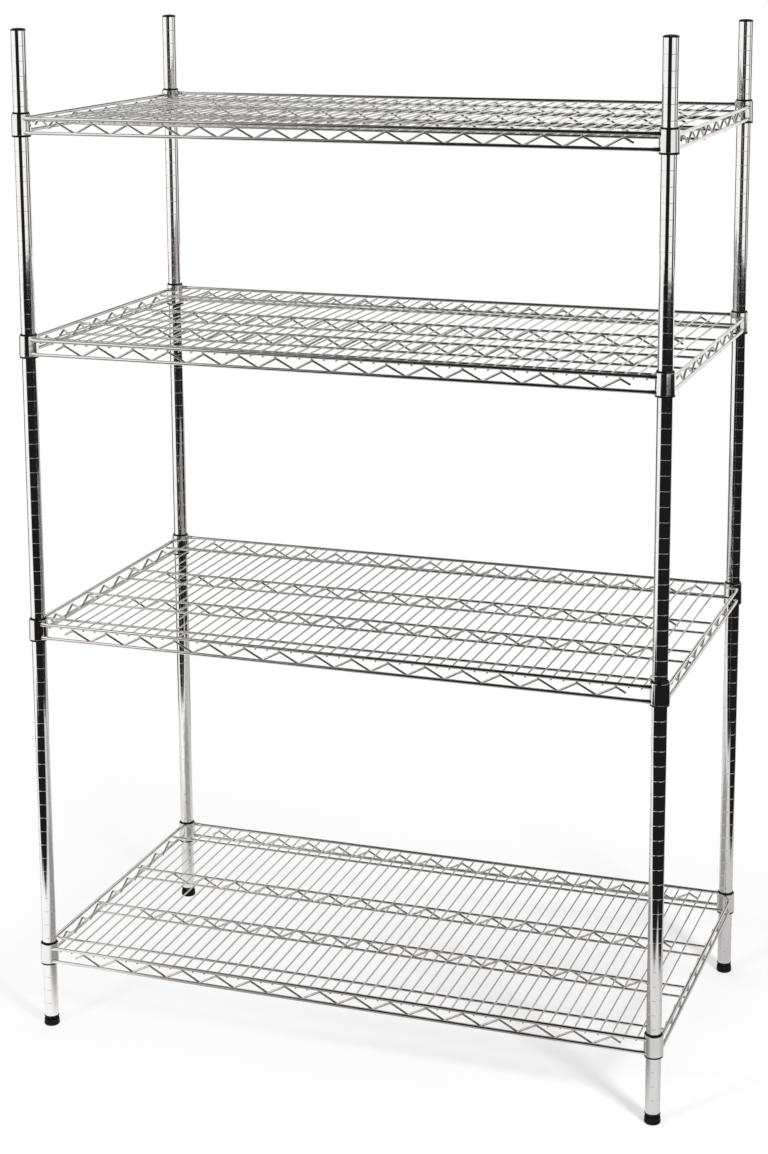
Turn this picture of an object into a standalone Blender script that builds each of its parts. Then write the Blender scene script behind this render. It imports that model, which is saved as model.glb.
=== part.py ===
"""Four-tier chrome wire shelving unit on adjustable posts.

Grooved tubular posts carry welded wire shelves. A split, tapered sleeve clips into a
post groove, and the tapered collar of a shelf wedges down over it. Levelling feet
screw into plugs in the post bottoms. Units are metres, +Z is up, the front is at -Y,
and the origin lies on the floor at the middle of the unit.
"""
import math

import bmesh
import bpy
from mathutils import Vector

# Posts
POST_SPAN_X = 1.118
POST_SPAN_Y = 0.610
POST_DIAMETER = 0.0254
POST_WALL = 0.0012
POST_LENGTH = 1.7780
GROOVE_PITCH = 0.0254
GROOVE_DEPTH = 0.0007
GROOVE_WIDTH = 0.0030

# Shelf heights: the groove, counted from the post bottom, that a shelf's sleeves clip
# into, and for the top shelf the grooves that are left free above it
BOTTOM_GROOVE = 5
LOWER_GROOVE = 29
UPPER_GROOVE = 49
TOP_GROOVES_FREE = 6
TOP_GROOVE = round(POST_LENGTH / GROOVE_PITCH) - TOP_GROOVES_FREE

# Sleeves, with heights measured from the groove that they clip into
SLEEVE_TOP = 0.0155
SLEEVE_BOTTOM = -0.0265
SLEEVE_TOP_WALL = 0.0013
SLEEVE_BOTTOM_WALL = 0.0020
SLEEVE_SPLIT = 0.0008
SLEEVE_LIP = 0.0012
SLEEVE_LIP_HEIGHT = 0.0026
BEAD_WIDTH = 0.0020

# Shelf collars, with heights measured from the same groove
COLLAR_TOP = 0.0127
COLLAR_BOTTOM = -0.0233
COLLAR_WALL = 0.0014

# Shelf wires, with heights measured from the same groove
EDGE_WIRE = 0.0060
DECK_WIRE = 0.0045
CROSS_WIRE = 0.0027
ZIGZAG_WIRE = 0.0040
EDGE_OFFSET = 0.0100
EDGE_TOP = 0.0055
EDGE_DROP = 0.0245
SIDE_STEP = 0.0030
CROSS_PITCH = 0.0217
CROSS_PER_ZIGZAG = 3
CROSS_BEFORE_PEAK = 2
CROSS_MARGIN = 0.0250
SIDE_MARGIN = 0.0650
SINGLE_WIRE_Y = 0.254
MIDDLE_TRUSS_Y = 0.087
MIDDLE_DROP = 0.0190
ZIGZAG_TAIL = 0.0180
WELD_DEPTH = 0.0006

# Caps in the post tops
CAP_OVERHANG = 0.0004
CAP_DOME = 0.0040
CAP_RIM = 0.0016
CAP_CROWN_DIAMETER = 0.0170
CAP_CROWN = 0.0034
CAP_PLUG = 0.0120

# Plugs in the post bottoms, and levelling feet
FOOT_GAP = 0.0190
FLANGE_OVERHANG = 0.0007
FLANGE_THICKNESS = 0.0028
PLUG_LENGTH = 0.0250
STEM_DIAMETER = 0.0080
STEM_REACH = 0.0300
HEXAGON_ACROSS = 0.0170
HEXAGON_HEIGHT = 0.0022
BASE_DIAMETER = 0.0280
BASE_SOLE_DIAMETER = 0.0244
BASE_CROWN_DIAMETER = 0.0240
BASE_HEIGHT = 0.0130
BASE_LOWER_ROUND = 0.0024
BASE_UPPER_ROUND = 0.0024
BASE_FLOOR = 0.0035

# Clearance between pieces that touch on the real unit
FIT_GAP = 0.0003

# Facets
ROUND_SIDES = 8
EDGE_SIDES = 6
THIN_SIDES = 3
HEXAGON_SIDES = 6
MERGE_DISTANCE = 0.000001
SMOOTH_ANGLE = math.radians(50)
UP = Vector((0.0, 0.0, 1.0))

CORNERS = (
    ("front_left", -1, -1),
    ("front_right", 1, -1),
    ("back_left", -1, 1),
    ("back_right", 1, 1),
)
TIERS = (
    ("bottom", BOTTOM_GROOVE),
    ("lower", LOWER_GROOVE),
    ("upper", UPPER_GROOVE),
    ("top", TOP_GROOVE),
)

# Sizes that follow from the ones above
POST_BOTTOM = FOOT_GAP
POST_TOP = POST_BOTTOM + POST_LENGTH
POST_RADIUS = POST_DIAMETER / 2
TUBE_BORE = POST_RADIUS - POST_WALL
SLEEVE_BORE = POST_RADIUS + FIT_GAP
CAP_RADIUS = POST_RADIUS + CAP_OVERHANG
FLANGE_RADIUS = POST_RADIUS + FLANGE_OVERHANG
EDGE_BOTTOM = EDGE_TOP - EDGE_DROP
ZIGZAG_PITCH = CROSS_PER_ZIGZAG * CROSS_PITCH

# Patterns that gain or lose copies with the spans between the posts
PEAK_MARGIN = CROSS_MARGIN + CROSS_BEFORE_PEAK * CROSS_PITCH
LONG_PEAKS = int((POST_SPAN_X - 2 * PEAK_MARGIN) / ZIGZAG_PITCH) + 1
SIDE_PEAKS = int((POST_SPAN_Y - 2 * SIDE_MARGIN) / ZIGZAG_PITCH) + 1
CROSS_COUNT = (LONG_PEAKS - 1) * CROSS_PER_ZIGZAG + 2 * CROSS_BEFORE_PEAK + 1


def clear_scene():
    """Remove every object that the scene holds."""
    for item in list(bpy.data.objects):
        bpy.data.objects.remove(item, do_unlink=True)


def make_material(name, colour, roughness, metallic):
    """Return a Principled material."""
    material = bpy.data.materials.new(name)
    material.use_nodes = True
    shader = material.node_tree.nodes["Principled BSDF"]
    shader.inputs["Base Color"].default_value = (*colour, 1.0)
    shader.inputs["Roughness"].default_value = roughness
    shader.inputs["Metallic"].default_value = metallic
    return material


def place(name, mesh, material, location):
    """Add one named object that shows a mesh at a place."""
    if not mesh.materials:
        mesh.materials.append(material)
    item = bpy.data.objects.new(name, mesh)
    item.location = location
    bpy.context.collection.objects.link(item)


def finish_mesh(bm, name):
    """Merge, turn the faces outwards, shade smooth and return the mesh."""
    bmesh.ops.remove_doubles(bm, verts=bm.verts, dist=MERGE_DISTANCE)
    bmesh.ops.recalc_face_normals(bm, faces=bm.faces)
    mesh = bpy.data.meshes.new(name)
    bm.to_mesh(mesh)
    bm.free()
    mesh.shade_smooth()
    mesh.set_sharp_from_angle(angle=SMOOTH_ANGLE)
    return mesh


def spin_profile(bm, profile, sides):
    """Turn (radius, height) points about Z; a profile off the axis closes on itself."""
    corners = [bm.verts.new((radius, 0.0, height)) for radius, height in profile]
    edges = [bm.edges.new(pair) for pair in zip(corners, corners[1:])]
    if profile[0][0] > 0.0:
        edges.append(bm.edges.new((corners[-1], corners[0])))
    bmesh.ops.spin(
        bm,
        geom=corners + edges,
        axis=(0.0, 0.0, 1.0),
        cent=(0.0, 0.0, 0.0),
        angle=2 * math.pi,
        steps=sides,
        use_merge=True,
    )
    bmesh.ops.remove_doubles(bm, verts=bm.verts, dist=MERGE_DISTANCE)


def turned_mesh(name, profile, sides=ROUND_SIDES):
    """Return a mesh turned about Z."""
    bm = bmesh.new()
    spin_profile(bm, profile, sides)
    return finish_mesh(bm, name)


def corner_radius(diameter, sides):
    """Return the corner radius of the regular section with a round wire's area."""
    return diameter * math.sqrt(math.pi / (2 * sides * math.sin(2 * math.pi / sides)))


def flat_radius(diameter, sides):
    """Return the distance from that section's centre to its flats."""
    return corner_radius(diameter, sides) * math.cos(math.pi / sides)


def add_wire(bm, points, diameter, sides):
    """Add a closed wire with mitred bends, with the first corner of its section up."""
    path = [Vector(point) for point in points]
    legs = [(end - start).normalized() for start, end in zip(path, path[1:])]
    radius = corner_radius(diameter, sides)
    rings = []
    for index, point in enumerate(path):
        leg = legs[min(index, len(legs) - 1)]
        mitre = (legs[max(index - 1, 0)] + leg).normalized()
        normal = (UP - leg * UP.dot(leg)).normalized()
        across = leg.cross(normal)
        ring = []
        for side in range(sides):
            angle = 2 * math.pi * side / sides
            offset = radius * (math.cos(angle) * normal + math.sin(angle) * across)
            offset -= leg * (offset.dot(mitre) / leg.dot(mitre))
            ring.append(bm.verts.new(point + offset))
        rings.append(ring)
    for ring, following in zip(rings, rings[1:]):
        for side in range(sides):
            other = (side + 1) % sides
            bm.faces.new((ring[side], ring[other], following[other], following[side]))
    bm.faces.new(rings[0])
    bm.faces.new(rings[-1])


def guide_object(name, mesh):
    """Add a hidden object that only shapes another one."""
    item = bpy.data.objects.new(name, mesh)
    item.hide_render = True
    item.display_type = "WIRE"
    bpy.context.collection.objects.link(item)
    return item


def combine(name, body, added, removed=None):
    """Return one mesh: body joined with added, less removed."""
    guides = [guide_object(name + "_body", body), guide_object(name + "_added", added)]
    join = guides[0].modifiers.new("join", "BOOLEAN")
    join.operation = "UNION"
    join.solver = "EXACT"
    join.use_self = True
    join.object = guides[1]
    if removed is not None:
        guides.append(guide_object(name + "_removed", removed))
        cut = guides[0].modifiers.new("cut", "BOOLEAN")
        cut.operation = "DIFFERENCE"
        cut.solver = "EXACT"
        cut.object = guides[2]
    graph = bpy.context.evaluated_depsgraph_get()
    mesh = bpy.data.meshes.new_from_object(guides[0].evaluated_get(graph))
    mesh.name = name
    for guide in guides:
        bpy.data.objects.remove(guide, do_unlink=True)
    mesh.materials.clear()
    mesh.shade_smooth()
    mesh.set_sharp_from_angle(angle=SMOOTH_ANGLE)
    return mesh


def sleeve_radius(height):
    """Return the sleeve's outer radius at a height above its groove."""
    share = (height - SLEEVE_BOTTOM) / (SLEEVE_TOP - SLEEVE_BOTTOM)
    return SLEEVE_BORE + SLEEVE_BOTTOM_WALL + share * (SLEEVE_TOP_WALL - SLEEVE_BOTTOM_WALL)


def collar_bore(height):
    """Return the radius of a collar's tapered bore at a height above its groove."""
    return sleeve_radius(height) + FIT_GAP


def groove_height(number):
    """Return the height of a post groove above the floor."""
    return POST_BOTTOM + number * GROOVE_PITCH


def post_mesh():
    """Tube with a rolled groove at each sleeve."""
    profile = [(TUBE_BORE, 0.0), (TUBE_BORE, POST_LENGTH), (POST_RADIUS, POST_LENGTH)]
    for _, number in reversed(TIERS):
        middle = number * GROOVE_PITCH
        profile.append((POST_RADIUS, middle + GROOVE_WIDTH / 2))
        profile.append((POST_RADIUS - GROOVE_DEPTH, middle))
        profile.append((POST_RADIUS, middle - GROOVE_WIDTH / 2))
    profile.append((POST_RADIUS, 0.0))
    return turned_mesh("post", profile)


def sleeve_half_mesh(side):
    """Half of a tapered sleeve, on one side in Y, with a flared lip and a locking bead."""
    lip_top = SLEEVE_BOTTOM + SLEEVE_LIP_HEIGHT
    lip_radius = sleeve_radius(SLEEVE_BOTTOM) + SLEEVE_LIP
    profile = [
        (sleeve_radius(SLEEVE_TOP), SLEEVE_TOP),
        (sleeve_radius(lip_top), lip_top),
        (lip_radius, SLEEVE_BOTTOM),
        (SLEEVE_BORE, SLEEVE_BOTTOM),
        (SLEEVE_BORE, -BEAD_WIDTH / 2),
        (SLEEVE_BORE - GROOVE_DEPTH, 0.0),
        (SLEEVE_BORE, BEAD_WIDTH / 2),
        (SLEEVE_BORE, SLEEVE_TOP),
    ]
    bm = bmesh.new()
    spin_profile(bm, profile, ROUND_SIDES)
    bmesh.ops.bisect_plane(
        bm,
        geom=bm.verts[:] + bm.edges[:] + bm.faces[:],
        dist=MERGE_DISTANCE,
        plane_co=(0.0, side * SLEEVE_SPLIT / 2, 0.0),
        plane_no=(0.0, side, 0.0),
        clear_inner=True,
    )
    rims = [edge for edge in bm.edges if edge.is_boundary]
    bmesh.ops.holes_fill(bm, edges=rims, sides=0)
    return finish_mesh(bm, "sleeve_half")


def collar_solids():
    """Four solid tapered collars, still without their bores."""
    bm = bmesh.new()
    for _, side_x, side_y in CORNERS:
        add_cone(bm, side_x, side_y, COLLAR_BOTTOM, COLLAR_TOP, COLLAR_WALL)
    return finish_mesh(bm, "collars")


def collar_bores():
    """The four tapered bores, long enough to pass both ends of a collar."""
    bm = bmesh.new()
    for _, side_x, side_y in CORNERS:
        add_cone(bm, side_x, side_y, SLEEVE_BOTTOM, SLEEVE_TOP, 0.0)
    return finish_mesh(bm, "bores")


def add_cone(bm, side_x, side_y, low, high, wall):
    """Add a closed cone about one post axis, wall larger than the collar bore."""
    rings = []
    for height in (low, high):
        radius = collar_bore(height) + wall
        ring = []
        for side in range(ROUND_SIDES):
            angle = 2 * math.pi * side / ROUND_SIDES
            x = side_x * POST_SPAN_X / 2 + radius * math.cos(angle)
            y = side_y * POST_SPAN_Y / 2 + radius * math.sin(angle)
            ring.append(bm.verts.new((x, y, height)))
        rings.append(ring)
    lower, upper = rings
    for side in range(ROUND_SIDES):
        other = (side + 1) % ROUND_SIDES
        bm.faces.new((lower[side], lower[other], upper[other], upper[side]))
    bm.faces.new(lower)
    bm.faces.new(upper)


def zigzag_points(peaks, low, high, run):
    """Points of a zigzag between two heights; run maps a distance along it to a place.

    The first and the last peak rise into the wire above, where they are welded.
    """
    start = -(peaks - 1) * ZIGZAG_PITCH / 2
    slope = (high - low) / (ZIGZAG_PITCH / 2)
    tail_drop = slope * ZIGZAG_TAIL
    points = [run(start - ZIGZAG_TAIL, high - tail_drop)]
    for peak in range(peaks):
        place_along = start + peak * ZIGZAG_PITCH
        welded = peak in (0, peaks - 1)
        points.append(run(place_along, high + (FIT_GAP + WELD_DEPTH if welded else 0.0)))
        if peak + 1 < peaks:
            points.append(run(place_along + ZIGZAG_PITCH / 2, low))
    points.append(run(-start + ZIGZAG_TAIL, high - tail_drop))
    return points


def zigzag_reach(low, high, spread):
    """Return how far a zigzag's bend stands out from its centre line, given its section."""
    angle = math.atan2(high - low, ZIGZAG_PITCH / 2)
    return spread / math.cos(angle)


def add_truss(bm, peaks, top, bottom, wire, run):
    """Add the zigzag between a top wire and a bottom wire."""
    half_wire = corner_radius(wire, EDGE_SIDES)
    rough_high = top - half_wire
    rough_low = bottom + half_wire
    crest = zigzag_reach(rough_low, rough_high, corner_radius(ZIGZAG_WIRE, THIN_SIDES))
    trough = zigzag_reach(rough_low, rough_high, flat_radius(ZIGZAG_WIRE, THIN_SIDES))
    high = rough_high - FIT_GAP - crest
    low = rough_low + FIT_GAP + trough
    add_wire(bm, zigzag_points(peaks, low, high, run), ZIGZAG_WIRE, THIN_SIDES)


def shelf_wires():
    """All wires of a shelf: edge trusses, middle trusses, deck wires and cross wires."""
    bm = bmesh.new()
    axis_x = POST_SPAN_X / 2
    axis_y = POST_SPAN_Y / 2
    edge_x = axis_x + EDGE_OFFSET
    edge_y = axis_y + EDGE_OFFSET
    side_top = EDGE_TOP - SIDE_STEP
    cross_below = flat_radius(CROSS_WIRE, THIN_SIDES)
    cross_z = EDGE_TOP - (corner_radius(CROSS_WIRE, THIN_SIDES) - cross_below) / 2
    deck_z = cross_z - cross_below - FIT_GAP - corner_radius(DECK_WIRE, EDGE_SIDES)
    middle_bottom = deck_z - MIDDLE_DROP

    for side in (-1, 1):
        front = side * edge_y
        flank = side * edge_x
        for height in (EDGE_TOP, EDGE_BOTTOM):
            add_wire(bm, ((-axis_x, front, height), (axis_x, front, height)), EDGE_WIRE, EDGE_SIDES)
        for height in (side_top, EDGE_BOTTOM):
            add_wire(bm, ((flank, -axis_y, height), (flank, axis_y, height)), EDGE_WIRE, EDGE_SIDES)
        add_truss(bm, LONG_PEAKS, EDGE_TOP, EDGE_BOTTOM, EDGE_WIRE, lambda s, z, y=front: (s, y, z))
        add_truss(bm, SIDE_PEAKS, side_top, EDGE_BOTTOM, EDGE_WIRE, lambda s, z, x=flank: (x, s, z))

        single = side * SINGLE_WIRE_Y
        add_wire(bm, ((-edge_x, single, deck_z), (edge_x, single, deck_z)), DECK_WIRE, EDGE_SIDES)
        middle = side * MIDDLE_TRUSS_Y
        for height in (deck_z, middle_bottom):
            add_wire(bm, ((-edge_x, middle, height), (edge_x, middle, height)), DECK_WIRE, EDGE_SIDES)
        add_truss(bm, LONG_PEAKS, deck_z, middle_bottom, DECK_WIRE, lambda s, z, y=middle: (s, y, z))

    for index in range(CROSS_COUNT):
        x = (index - (CROSS_COUNT - 1) / 2) * CROSS_PITCH
        add_wire(bm, ((x, -edge_y, cross_z), (x, edge_y, cross_z)), CROSS_WIRE, THIN_SIDES)
    return finish_mesh(bm, "wires")


def shelf_mesh():
    """One welded shelf: wires and collars joined, and the collars bored."""
    return combine("shelf", shelf_wires(), collar_solids(), collar_bores())


def cap_mesh():
    """Domed cap with a plug that sits in the tube, measured from the post top."""
    plug = TUBE_BORE - FIT_GAP
    profile = [
        (0.0, FIT_GAP + CAP_DOME),
        (CAP_CROWN_DIAMETER / 2, FIT_GAP + CAP_CROWN),
        (CAP_RADIUS, FIT_GAP + CAP_RIM),
        (CAP_RADIUS, FIT_GAP),
        (plug, FIT_GAP),
        (plug, -CAP_PLUG),
        (0.0, -CAP_PLUG),
    ]
    return turned_mesh("cap", profile)


def insert_mesh():
    """Flanged plug for a post bottom, with the hole that takes the stem."""
    hole = STEM_DIAMETER / 2 + FIT_GAP
    plug = TUBE_BORE - FIT_GAP
    profile = [
        (plug, PLUG_LENGTH),
        (plug, -FIT_GAP),
        (FLANGE_RADIUS, -FIT_GAP),
        (FLANGE_RADIUS, -FIT_GAP - FLANGE_THICKNESS),
        (hole, -FIT_GAP - FLANGE_THICKNESS),
        (hole, PLUG_LENGTH),
    ]
    return turned_mesh("foot_insert", profile)


def base_mesh():
    """Moulded foot with rounded shoulders and a blind hole for the stem."""
    hole = STEM_DIAMETER / 2 + FIT_GAP
    profile = [
        (0.0, BASE_FLOOR),
        (hole, BASE_FLOOR),
        (hole, BASE_HEIGHT),
        (BASE_CROWN_DIAMETER / 2, BASE_HEIGHT),
        (BASE_DIAMETER / 2, BASE_HEIGHT - BASE_UPPER_ROUND),
        (BASE_DIAMETER / 2, BASE_LOWER_ROUND),
        (BASE_SOLE_DIAMETER / 2, 0.0),
        (0.0, 0.0),
    ]
    return turned_mesh("foot_base", profile)


def stem_mesh():
    """Threaded stem with a hexagon that rests on the moulded foot."""
    low = BASE_FLOOR + FIT_GAP
    high = POST_BOTTOM + STEM_REACH
    shank = [
        (0.0, high),
        (STEM_DIAMETER / 2, high),
        (STEM_DIAMETER / 2, low),
        (0.0, low),
    ]
    seat = BASE_HEIGHT + FIT_GAP
    corner = HEXAGON_ACROSS / 2 / math.cos(math.pi / HEXAGON_SIDES)
    hexagon = [
        (0.0, seat + HEXAGON_HEIGHT),
        (corner, seat + HEXAGON_HEIGHT),
        (corner, seat),
        (0.0, seat),
    ]
    return combine(
        "foot_stem",
        turned_mesh("stem_shank", shank),
        turned_mesh("stem_hexagon", hexagon, HEXAGON_SIDES),
    )


def main():
    """Build every piece of the unit."""
    clear_scene()
    post_chrome = make_material("post_chrome", (0.80, 0.81, 0.82), 0.10, 1.0)
    shelf_chrome = make_material("shelf_chrome", (0.78, 0.79, 0.80), 0.14, 1.0)
    stem_zinc = make_material("stem_zinc", (0.55, 0.56, 0.58), 0.32, 1.0)
    sleeve_black = make_material("sleeve_black", (0.015, 0.015, 0.016), 0.38, 0.0)
    cap_black = make_material("cap_black", (0.014, 0.014, 0.015), 0.35, 0.0)
    insert_black = make_material("insert_black", (0.016, 0.016, 0.017), 0.40, 0.0)
    base_black = make_material("base_black", (0.012, 0.012, 0.013), 0.45, 0.0)

    post = post_mesh()
    cap = cap_mesh()
    insert = insert_mesh()
    stem = stem_mesh()
    base = base_mesh()
    rear_half = sleeve_half_mesh(1)
    fore_half = sleeve_half_mesh(-1)
    shelf = shelf_mesh()

    for corner, side_x, side_y in CORNERS:
        x = side_x * POST_SPAN_X / 2
        y = side_y * POST_SPAN_Y / 2
        place("post_" + corner, post, post_chrome, (x, y, POST_BOTTOM))
        place("cap_" + corner, cap, cap_black, (x, y, POST_TOP))
        place("foot_insert_" + corner, insert, insert_black, (x, y, POST_BOTTOM))
        place("foot_stem_" + corner, stem, stem_zinc, (x, y, 0.0))
        place("foot_base_" + corner, base, base_black, (x, y, 0.0))
        for tier, number in TIERS:
            z = groove_height(number)
            name = "sleeve_" + tier + "_" + corner
            place(name + "_rear_half", rear_half, sleeve_black, (x, y, z))
            place(name + "_fore_half", fore_half, sleeve_black, (x, y, z))

    for tier, number in TIERS:
        place("shelf_" + tier, shelf, shelf_chrome, (0.0, 0.0, groove_height(number)))


main()
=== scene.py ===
"""Chrome wire shelving unit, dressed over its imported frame.

Grooved tube posts, split clip sleeves, welded wire shelves and levelling feet are
modelled with mesh operators at the places that the frame gives, finished with
procedural materials, and set on a pale studio floor at the photograph's angle.
Units are metres, +Z is up and the front is at -Y.
"""
import logging
import math
from collections.abc import Callable, Sequence
from dataclasses import dataclass
from enum import Enum
from typing import TypeAlias

import bmesh
import bpy
from mathutils import Matrix, Vector


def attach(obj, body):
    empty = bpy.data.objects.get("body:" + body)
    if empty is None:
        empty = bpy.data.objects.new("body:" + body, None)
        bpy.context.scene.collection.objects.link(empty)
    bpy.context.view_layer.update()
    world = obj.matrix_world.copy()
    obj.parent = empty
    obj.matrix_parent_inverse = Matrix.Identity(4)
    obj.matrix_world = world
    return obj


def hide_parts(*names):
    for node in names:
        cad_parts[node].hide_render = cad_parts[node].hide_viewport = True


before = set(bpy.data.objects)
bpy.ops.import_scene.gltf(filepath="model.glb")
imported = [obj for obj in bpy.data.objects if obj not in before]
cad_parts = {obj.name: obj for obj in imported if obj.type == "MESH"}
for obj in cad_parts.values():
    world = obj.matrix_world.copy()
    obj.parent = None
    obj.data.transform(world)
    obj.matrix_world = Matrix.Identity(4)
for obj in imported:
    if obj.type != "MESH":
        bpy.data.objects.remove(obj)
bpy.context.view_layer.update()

LOG = logging.getLogger("shelving")
SAME_PLACE = 1e-6
DOUBLES = 2e-6
SEED_SIZE = 0.001
ORIGIN = (0.0, 0.0, 0.0)

Object: TypeAlias = bpy.types.Object
Point: TypeAlias = tuple[float, float, float]
Span: TypeAlias = tuple[float, float]
Steps: TypeAlias = tuple[Span, ...]
Profile: TypeAlias = list[Span]
Number: TypeAlias = "Signal | float"


class Corner(Enum):
    """A post of the unit, with the side of the unit that it stands on in X and in Y."""

    FRONT_LEFT = ("front_left", -1, -1)
    FRONT_RIGHT = ("front_right", 1, -1)
    BACK_LEFT = ("back_left", -1, 1)
    BACK_RIGHT = ("back_right", 1, 1)

    def __init__(self, label: str, side_x: int, side_y: int) -> None:
        """Keep the three parts of the value under plain names.

        Args:
            label: The words for the corner in the names of pieces.
            side_x: -1 at the left and 1 at the right.
            side_y: -1 at the front and 1 at the back.
        """
        self.label = label
        self.side_x = side_x
        self.side_y = side_y


class Tier(Enum):
    """A shelf of the unit, with the post groove that its sleeves clip into."""

    BOTTOM = ("bottom", 5)
    LOWER = ("lower", 29)
    UPPER = ("upper", 49)
    TOP = ("top", 64)

    def __init__(self, label: str, groove: int) -> None:
        """Keep the two parts of the value under plain names."""
        self.label = label
        self.groove = groove


class Half(Enum):
    """One half of a split sleeve, with the side in Y that it covers."""

    FORE = ("fore_half", -1)
    REAR = ("rear_half", 1)

    def __init__(self, label: str, side: int) -> None:
        """Keep the two parts of the value under plain names."""
        self.label = label
        self.side = side


@dataclass(frozen=True)
class Layout:
    """Sizes that several sub-assemblies share."""

    span_x: float = 1.118
    span_y: float = 0.610
    post_radius: float = 0.0127
    post_wall: float = 0.0012
    post_bottom: float = 0.0190
    post_length: float = 1.7780
    groove_pitch: float = 0.0254
    fit_gap: float = 0.0003

    def axis(self, corner: Corner, height: float = 0.0) -> Vector:
        """Return the point of a post's axis at a height above the floor."""
        return Vector((corner.side_x * self.span_x / 2, corner.side_y * self.span_y / 2, height))

    def groove_height(self, tier: Tier) -> float:
        """Return the height above the floor of the groove that carries a shelf."""
        return self.post_bottom + tier.groove * self.groove_pitch

    @property
    def bore(self) -> float:
        """Inner radius of a post's tube."""
        return self.post_radius - self.post_wall


class Bench:
    """Modelling operators on one mesh object at a time."""

    @staticmethod
    def clear() -> None:
        """Leave edit mode and deselect every object."""
        if bpy.context.mode != "OBJECT":
            bpy.ops.object.mode_set(mode="OBJECT")
        bpy.ops.object.select_all(action="DESELECT")

    @staticmethod
    def work_on(piece: Object) -> None:
        """Select one object alone and make it active.

        Args:
            piece: The object.
        """
        Bench.clear()
        piece.select_set(True)
        bpy.context.view_layer.objects.active = piece

    @staticmethod
    def edit() -> None:
        """Enter edit mode with all of the active mesh selected."""
        bpy.ops.object.mode_set(mode="EDIT")
        bpy.ops.mesh.select_mode(type="VERT")
        bpy.ops.mesh.select_all(action="SELECT")

    @staticmethod
    def pick(test: Callable[[Vector], bool]) -> None:
        """Select vertices by their place, with the edges and faces between them.

        Args:
            test: Says of a vertex's place whether it is selected.
        """
        bpy.ops.mesh.select_mode(type="VERT")
        bpy.ops.mesh.select_all(action="DESELECT")
        data = bpy.context.object.data
        mesh = bmesh.from_edit_mesh(data)
        for vert in mesh.verts:
            vert.select = test(vert.co)
        mesh.select_flush(True)
        bmesh.update_edit_mesh(data)

    @staticmethod
    def push(move: Sequence[float]) -> None:
        """Extrude what is selected by a step."""
        bpy.ops.mesh.extrude_region_move(TRANSFORM_OT_translate={"value": tuple(move)})

    @staticmethod
    def stretch(scale: Sequence[float], centre: Sequence[float]) -> None:
        """Scale what is selected about a centre."""
        bpy.ops.transform.resize(value=tuple(scale), center_override=tuple(centre))

    @staticmethod
    def seal(angle: float = 40.0) -> Object:
        """Merge doubles, turn faces outwards, leave edit mode and shade smooth.

        Args:
            angle: Edges that turn by more than this many degrees stay sharp.

        Returns:
            The active object.
        """
        bpy.ops.mesh.select_all(action="SELECT")
        bpy.ops.mesh.remove_doubles(threshold=DOUBLES)
        bpy.ops.mesh.normals_make_consistent(inside=False)
        bpy.ops.object.mode_set(mode="OBJECT")
        piece = bpy.context.object
        Bench.settle(piece)
        bpy.ops.object.shade_smooth_by_angle(angle=math.radians(angle))
        return piece

    @staticmethod
    def settle(piece: Object) -> None:
        """Move an object's place, turn and scale into its mesh."""
        Bench.work_on(piece)
        bpy.ops.object.transform_apply(location=True, rotation=True, scale=True)

    @staticmethod
    def rounded(radius: float, height: float, steps: Steps, side: int) -> Profile:
        """Return the points of a rounded edge of a turned piece.

        Args:
            radius: Radius of the wall at the edge.
            height: Height of the face at the edge.
            steps: How far each point lies inside that radius, and how far from that face.
            side: 1 where the solid lies above the face and -1 where it lies below.

        Returns:
            The (radius, height) points.
        """
        return [(radius - inset, height + side * away) for inset, away in steps]

    @staticmethod
    def draw(profile: Profile, closed: bool) -> None:
        """Draw a (radius, height) line in the XZ plane, and stay in edit mode.

        Args:
            profile: Points of the line.
            closed: Whether the last point joins the first.
        """
        Bench.clear()
        bpy.ops.mesh.primitive_plane_add(size=SEED_SIZE)
        Bench.edit()
        bpy.ops.mesh.merge(type="CENTER")
        radius, height = profile[0]
        bpy.ops.transform.translate(value=(radius, 0.0, height))
        for (radius, height), (wider, higher) in zip(profile, profile[1:]):
            Bench.push((wider - radius, 0.0, higher - height))
        if closed:
            ends = [Vector((out, 0.0, up)) for out, up in (profile[0], profile[-1])]
            Bench.pick(lambda place: min((place - end).length for end in ends) < SAME_PLACE)
            bpy.ops.mesh.edge_face_add()
        bpy.ops.mesh.select_all(action="SELECT")

    @staticmethod
    def turn(profile: Profile, closed: bool, steps: int = 40) -> None:
        """Spin a drawn line once round the Z axis, and stay in edit mode.

        Args:
            profile: (radius, height) points of the line.
            closed: Whether the last point joins the first.
            steps: Steps of the spin.
        """
        Bench.draw(profile, closed)
        bpy.ops.mesh.spin(steps=steps, angle=math.tau, center=ORIGIN, axis=(0.0, 0.0, 1.0))
        bpy.ops.mesh.select_all(action="SELECT")
        bpy.ops.mesh.remove_doubles(threshold=DOUBLES)

    @staticmethod
    def repeat(count: int, step: Sequence[float], merge: bool) -> None:
        """Repeat the active object along a step with an applied array.

        Args:
            count: How many there are in the end.
            step: The way from one to the next.
            merge: Whether each is joined to the next where they touch.
        """
        piece = bpy.context.object
        array = piece.modifiers.new("repeat", "ARRAY")
        array.count = count
        array.use_relative_offset = False
        array.use_constant_offset = True
        array.constant_offset_displace = tuple(step)
        array.use_merge_vertices = merge
        array.merge_threshold = 10 * DOUBLES
        bpy.ops.object.modifier_apply(modifier=array.name)

    @staticmethod
    def cut(place: Sequence[float], away: Sequence[float]) -> None:
        """Cut the whole edited mesh at a plane, drop the far side and close the cut.

        Args:
            place: A point of the plane.
            away: The direction of the side that is dropped.
        """
        bpy.ops.mesh.select_all(action="SELECT")
        bpy.ops.mesh.bisect(
            plane_co=tuple(place),
            plane_no=tuple(Vector(away).normalized()),
            use_fill=True,
            clear_outer=True,
            threshold=SAME_PLACE,
        )

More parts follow.
